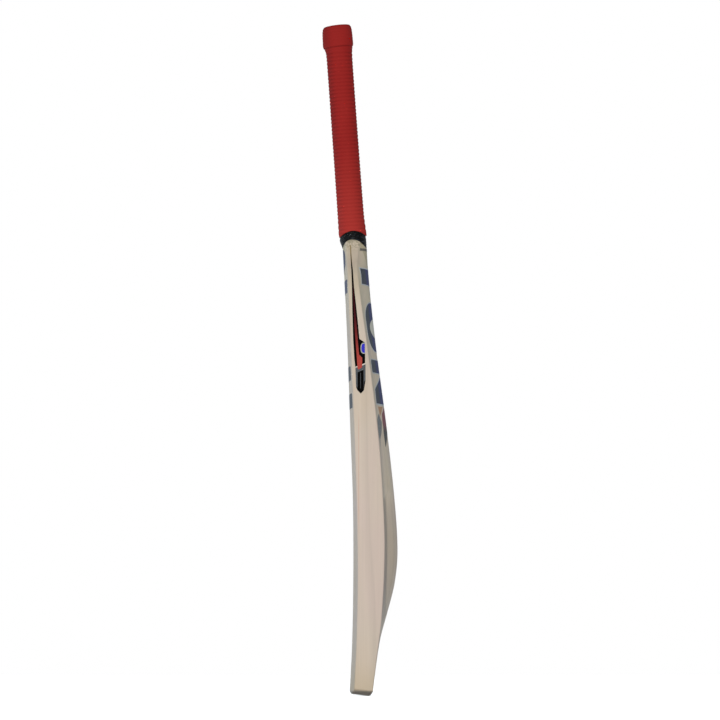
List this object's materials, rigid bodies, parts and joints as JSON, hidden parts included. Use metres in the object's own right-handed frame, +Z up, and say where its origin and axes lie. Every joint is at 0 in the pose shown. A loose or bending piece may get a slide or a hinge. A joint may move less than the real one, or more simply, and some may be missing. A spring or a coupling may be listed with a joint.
{
  "type": "cricket bat",
  "caption": "Short-handle cricket bat: willow blade with a low swell, spliced cane handle, twine binding, ribbed rubber grip and plain decals.",
  "frame": {"origin": "middle of the bounding box's bottom, level with the lowest point of the toe", "axes": "+Z up the bat from the toe to the butt of the handle, X across the blade, the striking face towards -Y and the back with its swell towards +Y"},
  "size_m": [0.108, 0.0956, 0.8532],
  "materials": {
    "willow": "pale sanded willow with a light oil, straight grain along the blade",
    "cane": "planed cane with fine pores along the handle",
    "spring_rubber": "matt sheet rubber",
    "grip_rubber": "ribbed red rubber, soft sheen",
    "twine": "black waxed twine, wound tight",
    "decal_film": "thin printed film, satin"
  },
  "bodies": {
    "root": {"blade": "willow", "cane_face_left": "cane", "cane_face_middle": "cane", "cane_face_right": "cane", "cane_fore_left": "cane", "cane_fore_middle": "cane", "cane_fore_right": "cane", "cane_aft_left": "cane", "cane_aft_middle": "cane", "cane_aft_right": "cane", "cane_back_left": "cane", "cane_back_middle": "cane", "cane_back_right": "cane", "rubber_spring_face": "spring_rubber", "rubber_spring_centre": "spring_rubber", "rubber_spring_back": "spring_rubber", "twine_binding": "twine", "rubber_grip": "grip_rubber", "edge_decal_right": "decal_film", "edge_decal_left": "decal_film", "back_decal_bar": "decal_film", "back_decal_small_block": "decal_film", "back_decal_round_block": "decal_film", "back_decal_low_block": "decal_film", "back_decal_wedge": "decal_film", "back_decal_accent": "decal_film", "face_decal_leaf": "decal_film", "face_decal_bar": "decal_film", "face_decal_upper_block": "decal_film", "face_decal_lower_block": "decal_film"}
  },
  "joints": []
}
